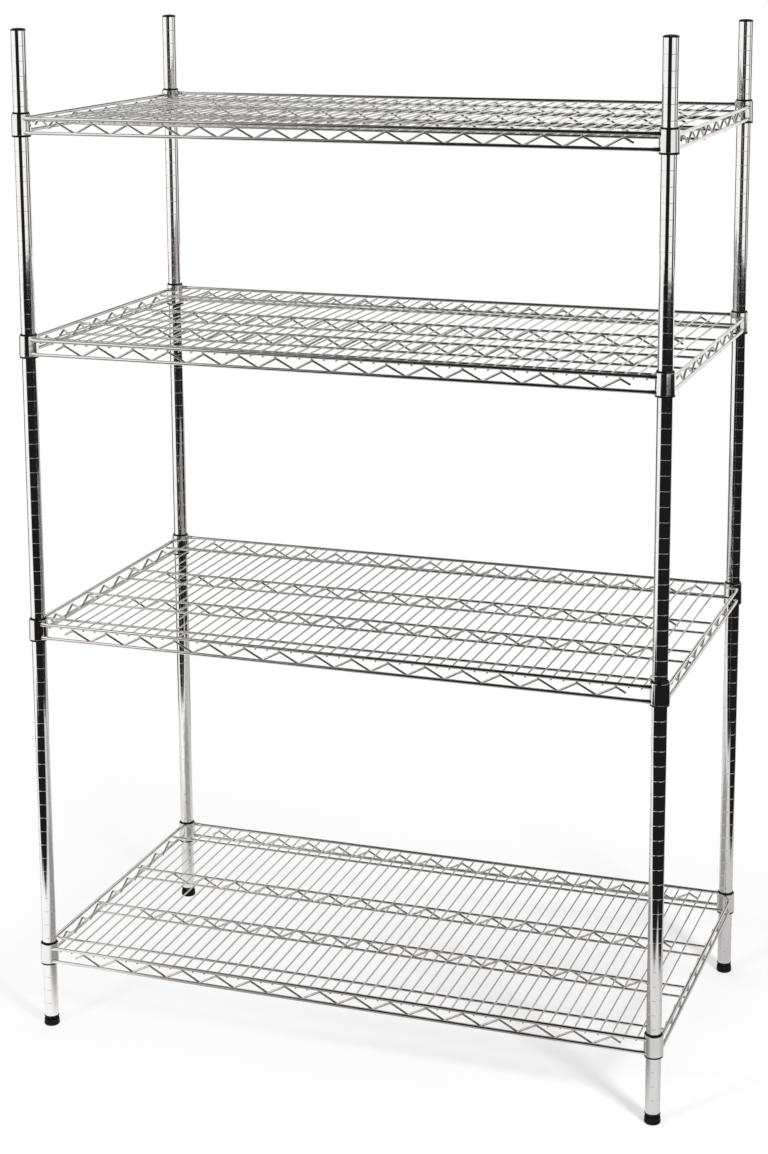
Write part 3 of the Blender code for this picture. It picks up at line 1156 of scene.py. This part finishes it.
@dataclass
class WireShelves:
    """Welded wire shelves: edge rails, zigzag lacing, runners, cross wires and collars.

    Heights are measured from the groove that the shelf's sleeves clip into. A weld is how far two
    wires run into each other. flare_scale and end_scale widen a rail in Y and in Z near its ends.
    bend_pitches is the way from an upper bend of the lacing to a lower one, in pitches of the
    cross wires.
    """

    layout: Layout
    outfitter: Outfitter
    sleeves: ClipSleeves
    collar_top: float = 0.0127
    collar_bottom: float = -0.0233
    collar_wall: float = 0.0014
    collar_edge: Steps = ((0.0004, 0.0), (0.0001, 0.0002), (0.0, 0.0005))
    collar_chamfer: float = 0.0003
    collar_rest: float = 0.0009
    collar_sides: int = 48
    rail_radius: float = 0.0030
    rail_sides: int = 12
    runner_radius: float = 0.00225
    runner_stub: float = 0.0010
    runner_sides: int = 10
    cross_radius: float = 0.00145
    cross_pitch: float = 0.0217
    cross_count: int = 50
    cross_stub: float = 0.0016
    cross_sides: int = 8
    cross_weld: float = 0.0001
    lacing_radius: float = 0.0020
    lacing_rise: float = 0.0163
    lacing_sides: int = 8
    lacing_weld: float = 0.0002
    bend_radius: float = 0.0035
    bend_steps: int = 4
    bend_pitches: float = 1.5
    slope_rounds: int = 20
    long_peaks: int = 16
    side_peaks: int = 8
    edge_offset: float = 0.0100
    rail_top: float = 0.0055
    rail_drop: float = 0.0245
    side_step: float = 0.0030
    single_y: float = 0.254
    middle_y: float = 0.087
    middle_drop: float = 0.0190
    flare_start: float = 0.0270
    flare_length: float = 0.0085
    flare_end: float = 0.0040
    flare_scale: Span = (0.82, 1.22)
    end_scale: Span = (1.25, 1.08)
    wire_end_bevel: float = 0.35

    @property
    def edge_x(self) -> float:
        """X of the side rails."""
        return self.layout.span_x / 2 + self.edge_offset

    @property
    def edge_y(self) -> float:
        """Y of the front and back rails."""
        return self.layout.span_y / 2 + self.edge_offset

    @property
    def rail_bottom(self) -> float:
        """Height of the lower rails."""
        return self.rail_top - self.rail_drop

    @property
    def side_top(self) -> float:
        """Height of the upper side rails."""
        return self.rail_top - self.side_step

    @property
    def cross_height(self) -> float:
        """Height of the cross wires, which are welded below the front and back rails."""
        return self.rail_top - self.rail_radius - self.cross_radius + self.cross_weld

    @property
    def runner_height(self) -> float:
        """Height of the runners, which are welded below the cross wires."""
        return self.cross_height - self.cross_radius - self.runner_radius + self.cross_weld

    def bore(self, height: float) -> float:
        """Return the radius of a collar's tapered bore at a height."""
        return self.sleeves.outer(height) + self.layout.fit_gap

    def collar(self) -> Object:
        """Model one tapered collar.

        Returns:
            The collar, about the origin.
        """
        low, high = self.collar_bottom, self.collar_top
        wall, chamfer = self.collar_wall, self.collar_chamfer
        line = [(self.bore(low) + chamfer, low)]
        line += Bench.rounded(self.bore(low) + wall, low, self.collar_edge, 1)
        for height in (low + self.collar_rest, high - self.collar_rest):
            line.append((self.bore(height) + wall, height))
        line += Bench.rounded(self.bore(high) + wall, high, self.collar_edge[::-1], -1)
        line += [(self.bore(high) + chamfer, high)]
        line += [(self.bore(high), high - chamfer), (self.bore(low), low + chamfer)]
        Bench.turn(line, closed=True, steps=self.collar_sides)
        return Bench.seal()

    def rail(self, span: float, height: float) -> Object:
        """Model one rail along X, with flattened ends that are welded to two collars.

        Args:
            span: Distance between the axes of the two posts.
            height: Height of the rail.

        Returns:
            The rail, set off from the post axes towards -Y.
        """
        out = -self.edge_offset
        centre = (0.0, out, height)
        straight = span / 2 - self.flare_start
        Bench.clear()
        bpy.ops.mesh.primitive_cylinder_add(
            vertices=self.rail_sides,
            radius=self.rail_radius,
            depth=2 * straight - 2 * self.rail_radius,
            location=centre,
            rotation=(0.0, math.pi / 2, 0.0),
        )
        Bench.settle(bpy.context.object)
        Bench.edit()
        for side in (-1, 1):
            Bench.pick(lambda place: side * place.x > straight - self.rail_radius - SAME_PLACE)
            Bench.push((side * self.rail_radius, 0.0, 0.0))
            Bench.push((side * self.flare_length, 0.0, 0.0))
            Bench.stretch((1.0, *self.flare_scale), centre)
            Bench.push((side * (self.flare_start - self.flare_length - self.flare_end), 0.0, 0.0))
            Bench.stretch((1.0, *self.end_scale), centre)
        middle = self.bore(height) + self.collar_wall / 2
        reach = math.sqrt(middle * middle - out * out)
        for side in (-1, 1):
            Bench.cut((side * (span / 2 - reach), out, height), (side * reach, -out, 0.0))
        return Bench.seal(angle=50.0)

    def rails(self) -> Object:
        """Model the eight rails round a shelf.

        Returns:
            The rails as one object.
        """
        made = []
        levels = ((self.rail_top, self.side_top), (self.rail_bottom, self.rail_bottom))
        for height, side_height in levels:
            front = self.rail(self.layout.span_x, height)
            front.data.transform(Matrix.Translation((0.0, -self.layout.span_y / 2, 0.0)))
            side = self.rail(self.layout.span_y, side_height)
            side.data.transform(Matrix.Rotation(math.pi / 2, 4, "Z"))
            side.data.transform(Matrix.Translation((self.layout.span_x / 2, 0.0, 0.0)))
            made += [front, Bench.mirror(front, (1, -1, 1)), side, Bench.mirror(side, (-1, 1, 1))]
        return Bench.join(made, "rails")

    def leg_slope(self, half: float) -> float:
        """Find the slope of a zigzag's legs between its rounded bends.

        Args:
            half: Distance along the wire between an upper and a lower bend.

        Returns:
            The angle above level.
        """
        rise, bend = self.lacing_rise, self.bend_radius
        slope = math.atan2(rise, half)
        for _ in range(self.slope_rounds):
            drop = rise - 2 * bend * (1 - math.cos(slope))
            slope = math.atan2(drop, half - 2 * bend * math.sin(slope))
        return slope

    def zigzag(self, peaks: int, high: float) -> Object:
        """Model a zigzag wire along X at Y 0, centred, with its ends half-way down a leg.

        Args:
            peaks: Number of bends at the top.
            high: Height of its centre line at the upper bends.

        Returns:
            The wire.
        """
        half = self.bend_pitches * self.cross_pitch
        low = high - self.lacing_rise
        middle = (low + high) / 2
        bend = self.bend_radius
        slope = self.leg_slope(half)
        leg = (half - 2 * bend * math.sin(slope)) / math.cos(slope)
        upward = Vector((math.cos(slope), 0.0, math.sin(slope)))
        downward = Vector((math.cos(slope), 0.0, -math.sin(slope)))
        start = Vector((-half / 2, 0.0, middle))
        Bench.clear()
        bpy.ops.mesh.primitive_circle_add(
            vertices=self.lacing_sides,
            radius=self.lacing_radius,
            location=start,
            rotation=(0.0, math.pi / 2 - slope, 0.0),
        )
        Bench.settle(bpy.context.object)
        Bench.edit()
        Bench.push(upward * leg / 2)
        self.bend(2 * slope, (0.0, 0.0, high - bend))
        Bench.push(downward * leg)
        self.bend(-2 * slope, (half, 0.0, low + bend))
        Bench.push(upward * leg / 2)
        bpy.ops.object.mode_set(mode="OBJECT")
        Bench.repeat(peaks, (2 * half, 0.0, 0.0), merge=True)
        Bench.edit()
        Bench.pick(lambda place: abs((place - start).dot(upward)) < 10 * SAME_PLACE)
        bpy.ops.mesh.edge_face_add()
        Bench.cut(((peaks - 1) * 2 * half + half / 2, 0.0, middle), downward)
        wire = Bench.seal(angle=50.0)
        wire.data.transform(Matrix.Translation((-(peaks - 1) * half, 0.0, 0.0)))
        return wire

    def bend(self, angle: float, centre: Point) -> None:
        """Carry the selected ring round a bend about an axis along Y."""
        bpy.ops.mesh.spin(steps=self.bend_steps, angle=-angle, center=centre, axis=(0.0, 1.0, 0.0))

    def lacing(self) -> Object:
        """Model the six zigzags of a shelf.

        Returns:
            The zigzags as one object.
        """
        inset = self.rail_radius + self.lacing_radius - self.lacing_weld
        beside = self.runner_radius + self.lacing_radius - self.lacing_weld
        peak = self.cross_height - self.cross_radius - self.lacing_radius + self.lacing_weld
        middle_peak = self.runner_height - (self.middle_drop - self.lacing_rise) / 2
        front = self.zigzag(self.long_peaks, peak)
        front.data.transform(Matrix.Translation((0.0, -self.edge_y + inset, 0.0)))
        side = self.zigzag(self.side_peaks, peak)
        side.data.transform(Matrix.Rotation(math.pi / 2, 4, "Z"))
        side.data.transform(Matrix.Translation((self.edge_x - inset, 0.0, 0.0)))
        middle = self.zigzag(self.long_peaks, middle_peak)
        middle.data.transform(Matrix.Translation((0.0, -self.middle_y + beside, 0.0)))
        made = [front, Bench.mirror(front, (1, -1, 1)), side, Bench.mirror(side, (-1, 1, 1))]
        made += [middle, Bench.mirror(middle, (1, -1, 1))]
        return Bench.join(made, "lacing")

    def straight_wire(self, radius: float, length: float, sides: int, turn: Point) -> Object:
        """Model a straight wire through the origin with bevelled ends.

        Args:
            radius: Radius of the wire.
            length: Length of the wire.
            sides: Sides of its section.
            turn: Rotation from standing upright.

        Returns:
            The wire.
        """
        straight = length / 2 - 2 * radius
        Bench.clear()
        bpy.ops.mesh.primitive_cylinder_add(vertices=sides, radius=radius, depth=2 * straight)
        Bench.edit()
        for side in (-1, 1):
            Bench.pick(lambda place: side * place.z > straight - SAME_PLACE)
            Bench.push((0.0, 0.0, side * (length / 2 - straight)))
        Bench.pick(lambda place: abs(place.z) > length / 2 - SAME_PLACE)
        bpy.ops.mesh.bevel(offset=radius * self.wire_end_bevel, segments=1, affect="EDGES")
        wire = Bench.seal(angle=50.0)
        wire.rotation_euler = turn
        Bench.settle(wire)
        return wire

    def runners(self) -> Object:
        """Model the six lengthwise wires under the cross wires.

        Returns:
            The runners as one object.
        """
        length = 2 * self.edge_x + 2 * self.runner_stub
        turn = (0.0, math.pi / 2, 0.0)
        wire = self.straight_wire(self.runner_radius, length, self.runner_sides, turn)
        made = []
        for side in (-1, 1):
            made.append(Bench.copy(wire, "single", (0.0, side * self.single_y, self.runner_height)))
            for height in (self.runner_height, self.runner_height - self.middle_drop):
                made.append(Bench.copy(wire, "middle", (0.0, side * self.middle_y, height)))
        Bench.drop([wire])
        return Bench.join(made, "runners")

    def cross_wires(self) -> Object:
        """Model the row of cross wires.

        Returns:
            The cross wires as one object.
        """
        length = 2 * (self.edge_y + self.cross_stub)
        turn = (math.pi / 2, 0.0, 0.0)
        wire = self.straight_wire(self.cross_radius, length, self.cross_sides, turn)
        first = -(self.cross_count - 1) / 2 * self.cross_pitch
        wire.data.transform(Matrix.Translation((first, 0.0, self.cross_height)))
        Bench.work_on(wire)
        Bench.repeat(self.cross_count, (self.cross_pitch, 0.0, 0.0), merge=False)
        return wire

    def collars(self) -> Object:
        """Model the four collars of a shelf.

        Returns:
            The collars as one object.
        """
        pattern = self.collar()
        made = [Bench.copy(pattern, "collar", self.layout.axis(corner)) for corner in Corner]
        Bench.drop([pattern])
        return Bench.join(made, "collars")

    def build(self) -> None:
        """Model one shelf and hang a copy at each tier."""
        patterns = {
            "rails": self.rails(),
            "lacing": self.lacing(),
            "runners": self.runners(),
            "cross_wires": self.cross_wires(),
            "collars": self.collars(),
        }
        for tier in Tier:
            body = "shelf_" + tier.label
            rise = (0.0, 0.0, self.layout.groove_height(tier))
            for label, pattern in patterns.items():
                piece = Bench.copy(pattern, body + "_" + label, rise)
                finish = COLLAR_CHROME if label == "collars" else SHELF_CHROME
                self.outfitter.deliver(piece, body, body, finish)
        Bench.drop(list(patterns.values()))


@dataclass(frozen=True)
class Card:
    """A patch of the walls that metal mirrors, in degrees round from -Y and above level."""

    left: float
    right: float
    low: float
    high: float
    level: float
    soft: float = 3.0

    def mask(self, bearing: Signal, height: Signal) -> Signal:
        """Return how far the card covers a direction, from 0 to 1."""
        across = bearing.within(self.left, self.right, self.soft)
        return across * height.within(self.low, self.high, self.soft)


@dataclass(frozen=True)
class Wedge:
    """A sector of the floor beyond the paper that metal mirrors, in degrees round from -Y."""

    left: float
    right: float
    level: float
    soft: float = 4.0


@dataclass(frozen=True)
class Mat:
    """A rectangle of the floor that metal mirrors, in metres."""

    left: float
    right: float
    front: float
    back: float
    level: float
    soft: float = 0.08

    def mask(self, across: Signal, along: Signal) -> Signal:
        """Return how far the mat covers a place, from 0 to 1."""
        width = across.within(self.left, self.right, self.soft)
        return width * along.within(self.front, self.back, self.soft)


@dataclass(frozen=True)
class Lamp:
    """A soft square lamp that metal doesn't mirror."""

    name: str
    place: Point
    size: float
    power: float


@dataclass
class Studio:
    """Floor, surroundings, lamps and camera.

    What metal mirrors of the floor and of the walls are levels from 0, black, to 1, white. A span
    such as shade_x gives where a soft change starts and ends.
    """

    floor_radius: float = 10.0
    floor_sides: int = 128
    floor_colour: Point = (0.92, 0.92, 0.92)
    floor_white: float = 0.48
    # Painted light: the floor's white emission is stronger towards the left, which fades the shadow
    # there.
    left_painted_light: float = 0.30
    left_light_edge: Span = (0.35, -0.35)
    shade_x: Span = (0.56, 1.3)
    shade_y: Span = (0.31, 1.2)
    # Painted shade in the floor that metal mirrors: darker towards the right, and darker towards the
    # back, which is a painted shadow of the unit.
    right_painted_shade: float = 0.28
    right_shade_edge: Span = (-0.75, 0.45)
    back_painted_shadow: float = 0.22
    back_shadow_edge: Span = (-0.42, -0.12)
    paper_x: Span = (-1.70, 1.16)
    paper_y: Span = (-0.95, 1.30)
    paper_soft: float = 0.08
    # Beyond the paper: dark in front and at the right, grey behind, and a dark gap at the left.
    wedges: tuple[Wedge, ...] = (
        Wedge(-34.0, 146.0, 0.012),
        Wedge(168.0, 190.0, 0.35),
        Wedge(-190.0, -150.0, 0.35),
        Wedge(-135.0, -100.0, 0.02),
    )
    # Two dark mats at the front left, a grey one under the unit that is the unit's painted shadow,
    # and a white one far behind.
    mats: tuple[Mat, ...] = (
        Mat(-1.9, -0.45, -1.9, -0.93, 0.012),
        Mat(-1.9, -1.05, -1.9, -0.72, 0.012),
        # The unit's painted shadow on the floor that metal mirrors.
        Mat(-0.42, 0.42, -0.60, 0.33, 0.30, 0.12),
        Mat(-8.0, 8.0, 5.4, 12.0, 1.0, 0.4),
    )
    ambient: float = 0.30
    wall_level: float = 0.015
    # A bright wall at the left of the front, which pales the left ends of the rails.
    glow_side: Span = (0.385, 0.41)
    glow_front: Span = (0.1, -0.1)
    glow_low: float = -8.0
    glow_high: float = 60.0
    glow_soft: float = 4.0
    cards: tuple[Card, ...] = (
        # White below level, all round.
        Card(-190.0, 190.0, -60.0, -0.5, 1.0, 1.0),
        # Dark gaps in front, at the right and behind, which are the dark streaks of the posts.
        Card(-24.0, 28.0, -60.0, 8.0, 0.012),
        Card(80.0, 106.0, -60.0, 8.0, 0.35),
        Card(80.0, 106.0, -60.0, -6.0, 0.05, 2.0),
        Card(-140.0, -112.0, -60.0, 8.0, 0.03),
        Card(122.0, 150.0, -60.0, 16.0, 0.03),
        Card(-150.0, -140.0, -60.0, 16.0, 0.03),
        # A pale wall behind with a white band over it, for the cross wires.
        Card(150.0, 190.0, -60.0, 17.0, 0.85, 4.0),
        Card(-190.0, -150.0, -60.0, 17.0, 0.85, 4.0),
        Card(150.0, 190.0, 28.5, 40.0, 1.0, 2.5),
        Card(-190.0, -150.0, 28.5, 40.0, 1.0, 2.5),
        # Grey and white at the right, for the glints in the grooves, and grey at the left.
        Card(34.0, 150.0, 20.0, 60.0, 0.15),
        Card(34.0, 118.0, 4.0, 36.0, 0.6),
        Card(36.0, 58.0, 14.0, 34.0, 1.0, 2.0),
        Card(-150.0, -84.0, 20.0, 60.0, 0.5),
        # A dark and a white card at the front left, for the zigzags and the runners.
        Card(-46.0, -31.0, 8.0, 26.0, 0.05),
        Card(-30.0, -22.5, 19.0, 34.0, 1.0, 1.5),
        # A dark ceiling.
        Card(-190.0, 190.0, 62.0, 100.0, 0.02),
    )
    lamps: tuple[Lamp, ...] = (
        Lamp("lamp_right", (3.0, -2.5, 2.6), 0.7, 170.0),
        Lamp("lamp_left", (-1.8, -3.6, 2.4), 0.7, 60.0),
        Lamp("lamp_over", (0.0, 0.6, 3.9), 2.4, 40.0),
    )
    lamp_aim: Point = (0.0, 0.0, 0.6)
    sensor: float = 36.0
    lens: float = 72.85
    shift: float = -0.1768
    stand: Point = (1.3378, -3.8468, 1.9654)
    bearing: float = 19.395
    tilt: float = -10.823
    roll: float = -0.316

    @staticmethod
    def directions(graph: Graph, output: str) -> tuple[Signal, Signal, Signal, Signal]:
        """Take a place or a direction apart.

        Args:
            graph: The graph of the floor or the world.
            output: Which output of the texture coordinates gives it.

        Returns:
            Its X, Y and Z, and its bearing in degrees round from -Y.
        """
        spot = graph.node("ShaderNodeTexCoord", output=output)
        across = graph.node("ShaderNodeSeparateXYZ", None, {0: spot}, "X")
        along = graph.node("ShaderNodeSeparateXYZ", None, {0: spot}, "Y")
        up = graph.node("ShaderNodeSeparateXYZ", None, {0: spot}, "Z")
        return across, along, up, graph.maths("ARCTAN2", across, -along) * math.degrees(1.0)

    def mirrored_floor(self, across: Signal, along: Signal, bearing: Signal) -> Signal:
        """Work out how bright the floor looks in metal, with painted shade towards the right and a
        painted shadow of the unit towards the back and under it.

        Args:
            across: X of a place on the floor.
            along: Y of the place.
            bearing: The way to it, in degrees round from -Y.

        Returns:
            The level.
        """
        # Painted shade towards the right and a painted shadow of the unit towards the back.
        right = 1 - self.right_painted_shade * across.rise(*self.right_shade_edge)
        level = right * (1 - self.back_painted_shadow * along.rise(*self.back_shadow_edge))
        paper = across.within(*self.paper_x, self.paper_soft)
        paper = paper * along.within(*self.paper_y, self.paper_soft)
        for wedge in self.wedges:
            sector = bearing.within(wedge.left, wedge.right, wedge.soft)
            level = level.covered(wedge.level, sector * (1 - paper))
        for mat in self.mats:
            level = level.covered(mat.level, mat.mask(across, along))
        return level

    def floor(self) -> None:
        """Lay the pale floor, which keeps the unit's shadow and shows metal its own levels, painted
        shade and a painted shadow of the unit among them.
        """
        Bench.clear()
        bpy.ops.mesh.primitive_circle_add(
            vertices=self.floor_sides,
            radius=self.floor_radius,
            fill_type="NGON",
        )
        floor = bpy.context.object
        floor.name = "studio_floor"
        material, graph = new_material("studio_floor_paper")
        across, along, _, bearing = self.directions(graph, "Object")
        level = self.mirrored_floor(across, along, bearing)
        camera = graph.node("ShaderNodeLightPath", output="Is Camera Ray")
        glossy = graph.node("ShaderNodeLightPath", output="Is Glossy Ray")
        beside = abs(across).rise(*self.shade_x)
        before = abs(along).rise(*self.shade_y)
        clear = graph.maths("MAXIMUM", beside, before)
        # Painted light: a larger share of white emission towards the left fades the floor's shadow
        # there.
        white_share = self.floor_white + self.left_painted_light * across.rise(*self.left_light_edge)
        far = camera * (white_share + (1 - white_share) * clear)
        shade = graph.node("ShaderNodeBsdfDiffuse", None, {"Color": (*self.floor_colour, 1.0)})
        white = graph.node("ShaderNodeEmission", None, {"Strength": 1.0})
        mirrored = graph.node("ShaderNodeEmission", None, {"Strength": level})
        near = graph.node("ShaderNodeMixShader", None, {0: far, 1: shade, 2: white})
        graph.surface(graph.node("ShaderNodeMixShader", None, {0: glossy, 1: near, 2: mirrored}))
        floor.data.materials.append(material)

    def surroundings(self) -> None:
        """Make the world white to the camera, and a studio with lights and dark gaps to metal."""
        world = bpy.data.worlds.new("studio_surroundings")
        bpy.context.scene.world = world
        world.use_nodes = True
        graph = Graph(world.node_tree)
        across, along, up, bearing = self.directions(graph, "Generated")
        height = graph.maths("ARCSINE", up) * math.degrees(1.0)
        glow = (-across).rise(*self.glow_side) * along.rise(*self.glow_front)
        glow = glow * height.within(self.glow_low, self.glow_high, self.glow_soft)
        level = self.wall_level + (1 - self.wall_level) * glow
        for card in self.cards:
            level = level.covered(card.level, card.mask(bearing, height))
        camera = graph.node("ShaderNodeLightPath", output="Is Camera Ray")
        glossy = graph.node("ShaderNodeLightPath", output="Is Glossy Ray")
        strength = camera + (1 - camera) * (glossy * level + (1 - glossy) * self.ambient)
        white = (1.0, 1.0, 1.0, 1.0)
        shown = graph.node("ShaderNodeBackground", None, {"Color": white, "Strength": strength})
        graph.node("ShaderNodeOutputWorld", None, {"Surface": shown}, None)

    def hang(self, lamp: Lamp) -> None:
        """Hang a lamp so that it faces the unit.

        Args:
            lamp: The lamp.
        """
        data = bpy.data.lights.new(lamp.name, "AREA")
        data.shape = "SQUARE"
        data.size = lamp.size
        data.energy = lamp.power
        made = bpy.data.objects.new(lamp.name, data)
        made.location = lamp.place
        made.visible_glossy = False
        aim = Vector(self.lamp_aim) - Vector(lamp.place)
        made.rotation_euler = aim.to_track_quat("-Z", "Y").to_euler()
        bpy.context.collection.objects.link(made)

    def camera(self) -> None:
        """Set the camera at the photograph's angle."""
        data = bpy.data.cameras.new("camera")
        data.sensor_fit = "AUTO"
        data.sensor_width = self.sensor
        data.lens = self.lens
        data.shift_y = self.shift
        camera = bpy.data.objects.new("camera", data)
        turn = Matrix.Rotation(math.radians(self.bearing), 4, "Z")
        turn = turn @ Matrix.Rotation(math.radians(90.0 + self.tilt), 4, "X")
        turn = turn @ Matrix.Rotation(math.radians(self.roll), 4, "Z")
        camera.matrix_world = Matrix.Translation(Vector(self.stand)) @ turn
        bpy.context.collection.objects.link(camera)
        bpy.context.scene.camera = camera

    def build(self) -> None:
        """Set up the whole studio."""
        self.floor()
        self.surroundings()
        for lamp in self.lamps:
            self.hang(lamp)
        self.camera()
        bpy.context.scene.view_settings.view_transform = "Standard"


def main() -> None:
    """Build every sub-assembly in order and set up the studio."""
    logging.basicConfig(level=logging.INFO, format="%(name)s: %(message)s")
    layout = Layout()
    outfitter = Outfitter()
    sleeves = ClipSleeves(layout, outfitter)
    Studio().build()
    GroovedPosts(layout, outfitter).build()
    PostCaps(layout, outfitter).build()
    LevellingFeet(layout, outfitter).build()
    sleeves.build()
    WireShelves(layout, outfitter, sleeves).build()


if __name__ == "__main__":
    main()
